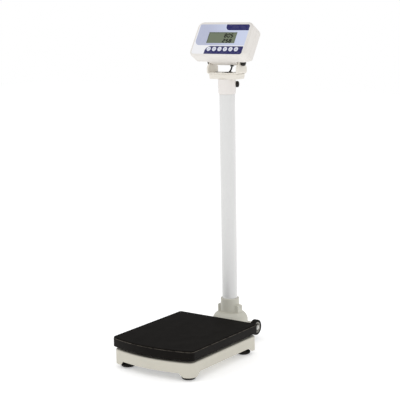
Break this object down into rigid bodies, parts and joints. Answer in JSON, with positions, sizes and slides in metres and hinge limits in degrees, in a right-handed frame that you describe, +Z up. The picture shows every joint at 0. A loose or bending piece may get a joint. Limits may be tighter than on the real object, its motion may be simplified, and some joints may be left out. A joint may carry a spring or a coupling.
{
  "type": "physician column scale",
  "caption": "Electronic physician scale: low platform on screw feet, tubular column, and a tilting, swivelling display head.",
  "frame": {"origin": "on the floor, under the middle of the whole scale's outline", "axes": "+X to the user's right, +Y from the platform towards the column, +Z up"},
  "size_m": [0.3, 0.5295, 1.0285],
  "materials": {
    "cover_black": "satin",
    "mat_rubber": "satin ribbed",
    "frame_steel": "matt black",
    "buffer_rubber": "matt",
    "base_cream": "fine texture",
    "chassis_steel": "matt",
    "zinc_steel": "zinc plated",
    "cell_aluminium": "milled",
    "cord_black": "satin",
    "column_white": "satin powder coat",
    "socket_cream": "fine texture",
    "ferrule_cream": "satin powder coat",
    "bush_nylon": "smooth",
    "knob_black": "satin",
    "bracket_cream": "satin powder coat",
    "head_cream": "fine texture",
    "brass": "turned",
    "fibre": "matt",
    "overlay_film": "satin film",
    "lcd": "satin glass",
    "key_grey": "satin",
    "board_green": "lacquered",
    "cell_wrap": "shrink wrap",
    "fitting_black": "satin",
    "foot_rubber": "matt",
    "tyre_black": "matt",
    "hub_grey": "satin"
  },
  "bodies": {
    "base": {"base_housing": "base_cream", "lower_frame": "chassis_steel", "overload_stops": "zinc_steel", "housing_screws": "zinc_steel", "foot_lock_nuts": "zinc_steel", "load_cell": "cell_aluminium", "load_cell_spacers": "zinc_steel", "load_cell_bolts": "zinc_steel", "load_cell_cable": "cord_black", "upper_frame": "frame_steel", "frame_buffers": "buffer_rubber", "wheel_axle": "zinc_steel", "axle_clips": "zinc_steel", "axle_spacers": "fitting_black", "column_socket": "socket_cream", "column_socket_bolts": "zinc_steel", "column_set_screws": "zinc_steel", "column_tube": "column_white"},
    "platform": {"platform_cover": "cover_black", "platform_mat": "mat_rubber"},
    "swivel": {"swivel_ferrule": "ferrule_cream", "swivel_bush": "bush_nylon", "bracket_block": "bracket_cream", "u_bracket": "bracket_cream", "bracket_screws": "zinc_steel", "bracket_grommet": "cord_black", "tilt_washers": "zinc_steel", "head_cable": "cord_black"},
    "clamp": {"clamp_knob": "knob_black"},
    "head": {"head_front_shell": "head_cream", "head_rear_shell": "head_cream", "head_screws": "zinc_steel", "hinge_inserts": "brass", "hinge_friction_discs": "fibre", "overlay_panel": "overlay_film", "display_module": "lcd", "main_board": "board_green", "battery_pack": "cell_wrap", "dc_jack": "fitting_black", "cable_gland": "fitting_black"},
    "tilt_screw_left": {"tilt_knob_left": "knob_black"},
    "tilt_screw_right": {"tilt_knob_right": "knob_black"},
    "foot_front_left": {"foot_pad_front_left": "foot_rubber", "foot_stud_front_left": "zinc_steel"},
    "foot_front_right": {"foot_pad_front_right": "foot_rubber", "foot_stud_front_right": "zinc_steel"},
    "foot_rear_left": {"foot_pad_rear_left": "foot_rubber", "foot_stud_rear_left": "zinc_steel"},
    "foot_rear_right": {"foot_pad_rear_right": "foot_rubber", "foot_stud_rear_right": "zinc_steel"},
    "wheel_left": {"wheel_tyre_left": "tyre_black", "wheel_hub_left": "hub_grey"},
    "wheel_right": {"wheel_tyre_right": "tyre_black", "wheel_hub_right": "hub_grey"},
    "key_body_1": {"key_1": "key_grey"},
    "key_body_2": {"key_2": "key_grey"},
    "key_body_3": {"key_3": "key_grey"},
    "key_body_4": {"key_4": "key_grey"},
    "key_body_5": {"key_5": "key_grey"},
    "key_body_6": {"key_6": "key_grey"}
  },
  "joints": [
    {"name": "cover_lift", "type": "slide", "parent": "base", "child": "platform", "axis": [0, 0, 1], "range_m": [0, 0.06]},
    {"name": "foot_front_left_height", "type": "slide", "parent": "base", "child": "foot_front_left", "axis": [0, 0, 1], "range_m": [-0.01, 0]},
    {"name": "foot_front_right_height", "type": "slide", "parent": "base", "child": "foot_front_right", "axis": [0, 0, 1], "range_m": [-0.01, 0]},
    {"name": "foot_rear_left_height", "type": "slide", "parent": "base", "child": "foot_rear_left", "axis": [0, 0, 1], "range_m": [-0.01, 0]},
    {"name": "foot_rear_right_height", "type": "slide", "parent": "base", "child": "foot_rear_right", "axis": [0, 0, 1], "range_m": [-0.01, 0]},
    {"name": "wheel_left_spin", "type": "hinge", "parent": "base", "child": "wheel_left", "pos_m": [-0.05925, 0.24, 0.0395], "axis": [1, 0, 0], "continuous": true},
    {"name": "wheel_right_spin", "type": "hinge", "parent": "base", "child": "wheel_right", "pos_m": [0.05925, 0.24, 0.0395], "axis": [1, 0, 0], "continuous": true},
    {"name": "head_swivel", "type": "hinge", "parent": "base", "child": "swivel", "pos_m": [0, 0.1815, 0.825], "axis": [0, 0, 1], "range_deg": [-90, 90]},
    {"name": "clamp_knob_turn", "type": "hinge", "parent": "swivel", "child": "clamp", "pos_m": [0.026, 0.20182, 0.8355], "axis": [0.788, 0.6157, 0], "range_deg": [0, 720]},
    {"name": "head_tilt", "type": "hinge", "parent": "swivel", "child": "head", "pos_m": [0, 0.1815, 0.905], "axis": [1, 0, 0], "range_deg": [-35, 18], "deforming": ["head_cable"]},
    {"name": "tilt_knob_left_turn", "type": "hinge", "parent": "head", "child": "tilt_screw_left", "pos_m": [-0.06, 0.1815, 0.905], "axis": [-1, 0, 0], "range_deg": [0, 720]},
    {"name": "tilt_knob_right_turn", "type": "hinge", "parent": "head", "child": "tilt_screw_right", "pos_m": [0.06, 0.1815, 0.905], "axis": [1, 0, 0], "range_deg": [0, 720]},
    {"name": "key_1_press", "type": "slide", "parent": "head", "child": "key_body_1", "axis": [0, 0.848, -0.5299], "range_m": [0, 0.0008], "stiffness_N_per_m": 1500, "springref_m": -0.0004},
    {"name": "key_2_press", "type": "slide", "parent": "head", "child": "key_body_2", "axis": [0, 0.848, -0.5299], "range_m": [0, 0.0008], "stiffness_N_per_m": 1500, "springref_m": -0.0004},
    {"name": "key_3_press", "type": "slide", "parent": "head", "child": "key_body_3", "axis": [0, 0.848, -0.5299], "range_m": [0, 0.0008], "stiffness_N_per_m": 1500, "springref_m": -0.0004},
    {"name": "key_4_press", "type": "slide", "parent": "head", "child": "key_body_4", "axis": [0, 0.848, -0.5299], "range_m": [0, 0.0008], "stiffness_N_per_m": 1500, "springref_m": -0.0004},
    {"name": "key_5_press", "type": "slide", "parent": "head", "child": "key_body_5", "axis": [0, 0.848, -0.5299], "range_m": [0, 0.0008], "stiffness_N_per_m": 1500, "springref_m": -0.0004},
    {"name": "key_6_press", "type": "slide", "parent": "head", "child": "key_body_6", "axis": [0, 0.848, -0.5299], "range_m": [0, 0.0008], "stiffness_N_per_m": 1500, "springref_m": -0.0004}
  ]
}
